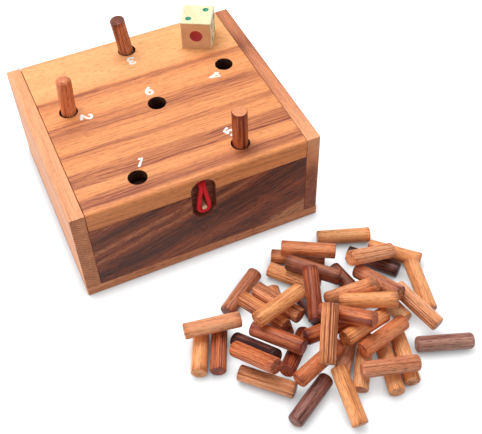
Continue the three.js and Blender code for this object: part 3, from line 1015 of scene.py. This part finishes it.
def elastic_route():
    """Points of the elastic, from one end in the lid's slot round the dowel to the other."""
    low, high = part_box("lid")
    notch_floor = low.y / MM + NOTCH_DEPTH
    top = high.z / MM
    cord_z = top - ELASTIC_BELOW_TOP
    peg_z = top - LATCH_PEG_BELOW_TOP
    offset = (ELASTIC_DIAMETER + ELASTIC_STRAND_GAP) / 2
    bight = LATCH_PEG_DIAMETER / 2 + ELASTIC_PEG_GAP + ELASTIC_DIAMETER / 2
    plane = notch_floor - ELASTIC_PROUD
    bend = ELASTIC_DIAMETER
    pinch = offset * ELASTIC_PINCH
    strand = [
        (offset, notch_floor + ELASTIC_ROOT, cord_z),
        (offset, notch_floor + bend, cord_z),
        ((offset + pinch) / 2, notch_floor - ELASTIC_PROUD / 2, cord_z - bend / 4),
        (pinch, plane, cord_z - bend),
        ((pinch + bight) / 2, plane, (cord_z + peg_z) / 2),
    ]
    points = list(strand)
    for step in range(BIGHT_STEPS + 1):
        angle = -math.pi * step / BIGHT_STEPS
        points.append((bight * math.cos(angle), plane, peg_z + bight * math.sin(angle)))
    points += [(-x, y, z) for x, y, z in reversed(strand)]
    return [Vector((LATCH_X + x, y, z)) * MM for x, y, z in points]


def between(p, q, start, end, now):
    """The point between p and q, which are reached at the times start and end."""
    return p * (end - now) / (end - start) + q * (now - start) / (end - start)


def smooth_route(points, steps):
    """The same route with more points, on a rounded curve through them."""
    ends = [2 * points[0] - points[1]] + points + [2 * points[-1] - points[-2]]
    smooth = []
    for i in range(1, len(ends) - 2):
        four = ends[i - 1:i + 3]
        times = [0.0]
        for p, q in zip(four, four[1:]):
            times.append(times[-1] + (q - p).length ** 0.5)
        _, t1, t2, _ = times
        for step in range(steps):
            now = t1 + (t2 - t1) * step / steps
            three = [between(four[k], four[k + 1], times[k], times[k + 1], now)
                     for k in range(3)]
            two = [between(three[k], three[k + 1], times[k], times[k + 2], now)
                   for k in range(2)]
            smooth.append(between(*two, t1, t2, now))
    return smooth + [points[-1]]


def store(piece, name, kind, values, domain="POINT"):
    """Stores one value, or one vector's three values, for each point or face."""
    attribute = piece.data.attributes.new(name, kind, domain)
    attribute.data.foreach_set("vector" if kind == "FLOAT_VECTOR" else "value", values)


def mark_braid(piece, route):
    """Stores, for each vertex, how far along and round the cord it lies, in thread turns."""
    places = np.array([p[:] for p in route])
    steps = np.linalg.norm(np.diff(places, axis=0), axis=1)
    reached = np.concatenate([[0.0], np.cumsum(steps)])
    normal = Vector((0, 1, 0))
    marks = []
    for vertex in piece.data.vertices:
        co = np.array(vertex.co[:])
        nearest = int(np.argmin(((places - co) ** 2).sum(1)))
        before, after = max(0, nearest - 1), min(len(route) - 1, nearest + 1)
        along = (route[after] - route[before]).normalized()
        across = along.cross(normal)
        if across.length < ALONG_Y_LENGTH:
            across = along.cross(Vector((1, 0, 0)))
        across.normalize()
        other = along.cross(across)
        out = vertex.co - route[nearest]
        angle = math.atan2(out.dot(other), out.dot(across))
        travelled = reached[nearest] + out.dot(along)
        marks += [math.pi * travelled / sizes().braid_pitch, THREADS_ROUND * angle, 0.0]
    store(piece, "braid_place", "FLOAT_VECTOR", marks)


class DICE_OT_latch(bpy.types.Operator):
    """Makes the latch dowel and the elastic loop that hooks over it"""

    bl_idname = "dice.latch"
    bl_label = "Make the latch"

    def execute(self, context):
        low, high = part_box("latch_peg")
        middle = (low + high) / 2
        dowel = add_rod(
            "latch_dowel", (high.x - low.x) / 2, (middle.x, low.y, middle.z),
            (middle.x, high.y, middle.z), DOWEL_SIDES,
            wood_material("dowel_wood", "dowel", turn=GRAIN_ALONG_Y, growth=2, pores=0.3))
        ease_edges(dowel, LATCH_PEG_EASE * MM, 4, lambda a, b: max(a.y, b.y) < low.y + NEAR)
        finish_piece(dowel, "box", "pale_wood", "latch_peg")

        route = smooth_route(elastic_route(), 8)
        cord = sweep("elastic_cord", [route], ELASTIC_DIAMETER * MM / 2, 5)
        mark_braid(cord, route)
        cord.data.materials.append(braid_material())
        finish_piece(cord, None, "red_elastic", "elastic_loop")
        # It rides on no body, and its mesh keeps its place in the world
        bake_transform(cord)
        return {"FINISHED"}


# Die

# Each face of the die: how far it is turned about X and about Y from the top face, and
# where its pips are
TWO = [(-1, -1), (1, 1)]
FOUR = TWO + [(-1, 1), (1, -1)]
DIE_FACES = [
    (0, 0, TWO),
    (QUARTER, 0, [(0, 0)]),
    (0, -QUARTER, TWO + [(0, 0)]),
    (0, QUARTER, FOUR),
    (math.pi, 0, FOUR + [(0, 0)]),
    (-QUARTER, 0, FOUR + [(-1, 0), (1, 0)]),
]


def pip_cutter(face, across, up, big):
    """A ball that sinks one dish into a face of the die, before the die is turned."""
    rim = (BIG_PIP_DIAMETER if big else PIP_DIAMETER) * MM / 2
    depth = PIP_DEPTH * MM
    radius = (rim * rim + depth * depth) / (2 * depth)
    half = DIE_SIZE * MM / 2
    step = PIP_SPACING * MM / 2
    place = face @ Vector((across * step, up * step, half - depth + radius))
    activate(None)
    bpy.ops.mesh.primitive_uv_sphere_add(segments=48, ring_count=64, radius=radius, location=place)
    if big:
        return new_piece("pip", paint_material("red_pip_paint", colours().big_pip))
    return new_piece("pip", paint_material("green_pip_paint", colours().small_pips))


class DICE_OT_die(bpy.types.Operator):
    """Makes the wooden die with its painted dishes"""

    bl_idname = "dice.die"
    bl_label = "Make the die"

    def execute(self, context):
        half = DIE_SIZE * MM / 2
        die = add_block("die_block", (-half, -half, -half), (half, half, half))
        ease_edges(die, DIE_EASE * MM, 4)
        grain = dict(turn=GRAIN_ALONG_Y, growth=6, figure=0.12, streaks=0.06)
        die.data.materials.append(wood_material("die_wood", "die", lines=0.12, pores=0.1, **grain))
        mark_ends(die, 1, wood_material("die_end_grain", "die_end", lines=0.1, pores=0.2, **grain))
        for about_x, about_y, pips in DIE_FACES:
            face = Matrix.Rotation(about_y, 3, "Y") @ Matrix.Rotation(about_x, 3, "X")
            for across, up in pips:
                cut(die, pip_cutter(face, across, up, len(pips) == 1))
        low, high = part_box("die")
        die.rotation_euler = (0, 0, math.radians(DIE_HEADING))
        die.location = (low + high) / 2
        finish_piece(die, "die", "die_wood", "die")
        return {"FINISHED"}


# Pegs

# How square to the peg's length a face of its end is
PEG_END_NORMAL = 0.85
# How far one peg's grain lies from another's (metres)
GRAIN_SHIFT = 0.2
TURNS_SEED = 47
SPLINTER_SEED = 5


def resize(value, middle):
    """Scales what is picked about a point and leaves edit mode."""
    bpy.ops.transform.resize(value=value, center_override=middle)
    leave_edit_mode()


def press_grooves(peg, radius, step, depths):
    """Presses each groove's points towards the peg's axis."""
    for count, depth in enumerate(depths):
        for part, form_share in enumerate(GROOVE_FORM):
            if not form_share:
                continue
            inward = 1 - depth * form_share * sizes().reed_depth / radius
            around = (len(GROOVE_FORM) * count + part) * step
            pick(peg, "VERT", lambda co: math.hypot(co.y, co.z) > radius / 3 and abs(
                math.remainder(math.atan2(co.z, co.y) - around, 2 * math.pi)) < step / 3)
            resize((1, inward, inward), (0, 0, 0))


def model_peg(form):
    """One peg along the X axis with its middle at the origin. A domed peg is rounded at
    its +X end and a ragged one is splintered there."""
    size = sizes()
    half = PEG_LENGTH * PEG_WEAR * MM / 2
    radius = PEG_DIAMETER * PEG_WEAR * MM / 2
    reeded = form in ("reeded", "ragged")
    sides = len(GROOVE_FORM) * size.reed_count if reeded else PLAIN_SIDES
    crown = radius * DOME_SHARE
    longer = crown - PEG_DOME * MM if form == "domed" else 0.0
    peg = add_rod("peg_" + form, radius, (-half, 0, 0), (half + longer, 0, 0), sides)
    at_end = lambda end: lambda a, b: abs(a.x - end) < NEAR and abs(b.x - end) < NEAR
    ease, segments = (ROUND_EASE * MM, 6) if form == "round" else (PEG_EASE * MM, 3)
    ease_edges(peg, ease, segments, at_end(-half))
    if form == "domed":
        ease_edges(peg, crown, 10, at_end(half + longer))
        shoulder = half + longer - crown
        pick(peg, "VERT", lambda co: co.x > shoulder - NEAR)
        resize((PEG_DOME * MM / crown, 1, 1), (shoulder, 0, 0))
    else:
        ease_edges(peg, ease, segments, at_end(half))
    pick(peg, "EDGE", lambda a, b: abs(a.x - b.x) > half)
    bpy.ops.mesh.subdivide(number_cuts=PEG_CUTS)
    leave_edit_mode()

    step = 2 * math.pi / sides
    depths = [GROOVE_DEPTHS[count % len(GROOVE_DEPTHS)] for count in range(size.reed_count)]
    # Each point's share of painted shade: rims and grooves are darkened in the peg's colour
    groove = []
    for vertex in peg.data.vertices:
        side = round(math.atan2(vertex.co.z, vertex.co.y) / step) % sides
        count, part = divmod(side, len(GROOVE_FORM))
        on_shaded_rim = form not in ("round", "domed") and abs(vertex.co.x) > half - ease
        depth = depths[count] * GROOVE_FORM[part] if reeded else 0.0
        groove.append(max(RIM_PAINTED_SHADE if on_shaded_rim else 0.0, depth))
    store(peg, "groove", "FLOAT", groove)
    if reeded:
        press_grooves(peg, radius, step, depths)
    if form == "ragged":
        pick(peg, "VERT", lambda co: co.x > half - ease - LOOSELY_NEAR)
        bpy.ops.transform.vertex_random(offset=SPLINTERS * MM, seed=SPLINTER_SEED)
        leave_edit_mode()
    clouds = bpy.data.textures.new("uneven_" + form, "CLOUDS")
    clouds.noise_scale = UNEVEN_LENGTH * MM
    modifier = peg.modifiers.new("uneven", "DISPLACE")
    modifier.texture = clouds
    modifier.texture_coords = "LOCAL"
    modifier.mid_level = 1.0
    modifier.strength = size.unevenness
    apply_modifier(peg, modifier)
    return peg


def lie_of(node):
    """Middle and direction of the peg that this CAD node is."""
    points = np.array([v.co[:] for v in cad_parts[node].data.vertices])
    middle = points.mean(0)
    along = np.linalg.svd(points - middle, full_matrices=False)[2][0]
    reach = (points - middle) @ along
    middle = middle + along * (reach.max() + reach.min()) / 2
    if along[np.argmax(np.abs(along))] < 0:
        along = -along
    return Vector(middle), Vector(along)


def place_peg(models, name, node, body, look, turner):
    """Puts one peg of its form and wood at its node, with its own grain and turn."""
    form, wood, tone, *ends = look
    if form not in models:
        models[form] = model_peg(form)
    peg = models[form].copy()
    peg.data = models[form].data.copy()
    peg.name = name
    bpy.context.scene.collection.objects.link(peg)
    peg.data.materials.append(wood_material(
        wood + "_peg_wood", wood, wander=1.5, growth=4.5, figure=0.32, streaks=0.26,
        lines=0.45, pores=0.5, rough=0.40, peg=True))
    offset = [turner.uniform(-GRAIN_SHIFT, GRAIN_SHIFT) for _ in range(3)]
    places = np.array([v.co[:] for v in peg.data.vertices]) + offset
    store(peg, "grain_place", "FLOAT_VECTOR", places.astype(np.float32).ravel())
    shifts = []
    for face in peg.data.polygons:
        end = ends[0] if face.normal.x < 0 else ends[-1]
        shifts.append(tone + (end if abs(face.normal.x) > PEG_END_NORMAL else 0.0))
    store(peg, "tone_shift", "FLOAT", shifts, "FACE")
    middle, along = lie_of(node)
    turn = along.to_track_quat("X", "Z").to_matrix() @ Matrix.Rotation(
        turner.uniform(0, 2 * math.pi), 3, "X")
    peg.rotation_euler = turn.to_euler()
    peg.location = middle
    finish_piece(peg, body, wood + "_wood", node)


class DICE_OT_pegs(bpy.types.Operator):
    """Makes the three pegs that stand on the lid and the heap of loose pegs"""

    bl_idname = "dice.pegs"
    bl_label = "Make the pegs"

    def execute(self, context):
        models = {}
        turner = random.Random(TURNS_SEED)
        for hole, look in STANDING.items():
            place_peg(models, f"standing_peg_{hole}", f"peg_in_hole_{hole}", f"peg_{hole}",
                      look, turner)
        for count, look in enumerate(HEAP, 1):
            place_peg(models, f"loose_peg_{count:02d}", f"heap_peg_{count:02d}",
                      f"loose_{count:02d}", look, turner)
        for model in models.values():
            bpy.data.objects.remove(model)
        return {"FINISHED"}


# Stage


def seen_by(tree, *rays):
    """One for these kinds of ray and nothing for the others."""
    path = add_node(tree, "LightPath")
    seen = path.outputs[rays[0]]
    for ray in rays[1:]:
        seen = maths(tree, "MAXIMUM", seen, path.outputs[ray])
    return seen


def floor_material():
    """White to the camera where nothing stands near it. Near the pegs and the box that
    whiteness is cut back, which paints shade between the pegs over their cast shadows.
    """
    material, tree, shader = new_material("white_floor")
    # Painted shade: the floor's whiteness fades where something stands within reach
    sockets = {"Distance": FLOOR_SHADE_REACH}
    clear = add_node(tree, "AmbientOcclusion", sockets, samples=8).outputs["AO"]
    clear = maths(tree, "POWER", clear, FLOOR_SHADE_FALL)
    seen = seen_by(tree, "Is Camera Ray", "Is Glossy Ray", "Is Transmission Ray")
    lift = maths(tree, "MULTIPLY", maths(tree, "MULTIPLY", seen, clear), FLOOR_LIFT)
    plug(tree, shader, {
        "Base Color": colours().floor, "Roughness": 0.8,
        "Emission Color": (1, 1, 1, 1), "Emission Strength": lift})
    return material


def light_world(scene):
    """An even pale light that looks white to the camera."""
    world = bpy.data.worlds.new("studio")
    scene.world = world
    world.use_nodes = True
    tree = world.node_tree
    seen = seen_by(tree, "Is Camera Ray", "Is Transmission Ray")
    plug(tree, tree.nodes["Background"], {
        "Color": (1.0, 1.0, 1.0, 1.0),
        "Strength": rescale(tree, seen, 0, 1, WORLD_LIGHT, 1.0)})


class DICE_OT_stage(bpy.types.Operator):
    """Makes the floor, the light and the camera"""

    bl_idname = "dice.stage"
    bl_label = "Make the stage"

    def execute(self, context):
        activate(None)
        bpy.ops.mesh.primitive_plane_add(size=FLOOR_SIZE, location=(0, 0, -FLOOR_BELOW))
        floor = new_piece("floor")
        floor.data.materials.append(floor_material())
        light_world(context.scene)

        for name, (place, width, power) in LAMPS.items():
            activate(None)
            turn = (Vector(LAMP_TARGET) - Vector(place)).to_track_quat("-Z", "Y").to_euler()
            bpy.ops.object.light_add(type="AREA", location=place, rotation=turn)
            lamp = bpy.context.object
            lamp.name = name + "_light"
            lamp.data.size = width
            lamp.data.energy = power

        activate(None)
        turn = (Matrix.Rotation(-math.radians(CAMERA_HEADING), 3, "Z")
                @ Matrix.Rotation(QUARTER + math.radians(CAMERA_RISE), 3, "X")
                @ Matrix.Rotation(math.radians(CAMERA_ROLL), 3, "Z"))
        bpy.ops.object.camera_add(location=CAMERA_PLACE, rotation=turn.to_euler())
        camera = bpy.context.object
        camera.data.lens = CAMERA_LENS
        camera.data.sensor_width = CAMERA_SENSOR
        camera.data.clip_start = 0.01
        context.scene.camera = camera
        context.scene.view_settings.view_transform = "Standard"
        return {"FINISHED"}


class DICE_PT_panel(bpy.types.Panel):
    """Lists the steps that build the dice game"""

    bl_idname = "DICE_PT_panel"
    bl_label = "Dice game"
    bl_space_type = "VIEW_3D"
    bl_region_type = "UI"
    bl_category = "Dice game"

    def draw(self, context):
        for operator in STEPS:
            self.layout.operator(operator.bl_idname)
        for group in (context.scene.game_sizes, context.scene.game_colours):
            for key in group.__annotations__:
                self.layout.prop(group, key)


STEPS = (
    DICE_OT_boards, DICE_OT_lid, DICE_OT_numerals, DICE_OT_latch, DICE_OT_die,
    DICE_OT_pegs, DICE_OT_stage,
)
CLASSES = (GameSizes, GameColours, *STEPS, DICE_PT_panel)


def register():
    for cls in CLASSES:
        bpy.utils.register_class(cls)
    bpy.types.Scene.game_sizes = PointerProperty(type=GameSizes)
    bpy.types.Scene.game_colours = PointerProperty(type=GameColours)


def unregister():
    del bpy.types.Scene.game_colours
    del bpy.types.Scene.game_sizes
    for cls in reversed(CLASSES):
        bpy.utils.unregister_class(cls)


def main():
    register()
    for operator in STEPS:
        group, step = operator.bl_idname.split(".")
        getattr(getattr(bpy.ops, group), step)()


if __name__ == "__main__":
    main()
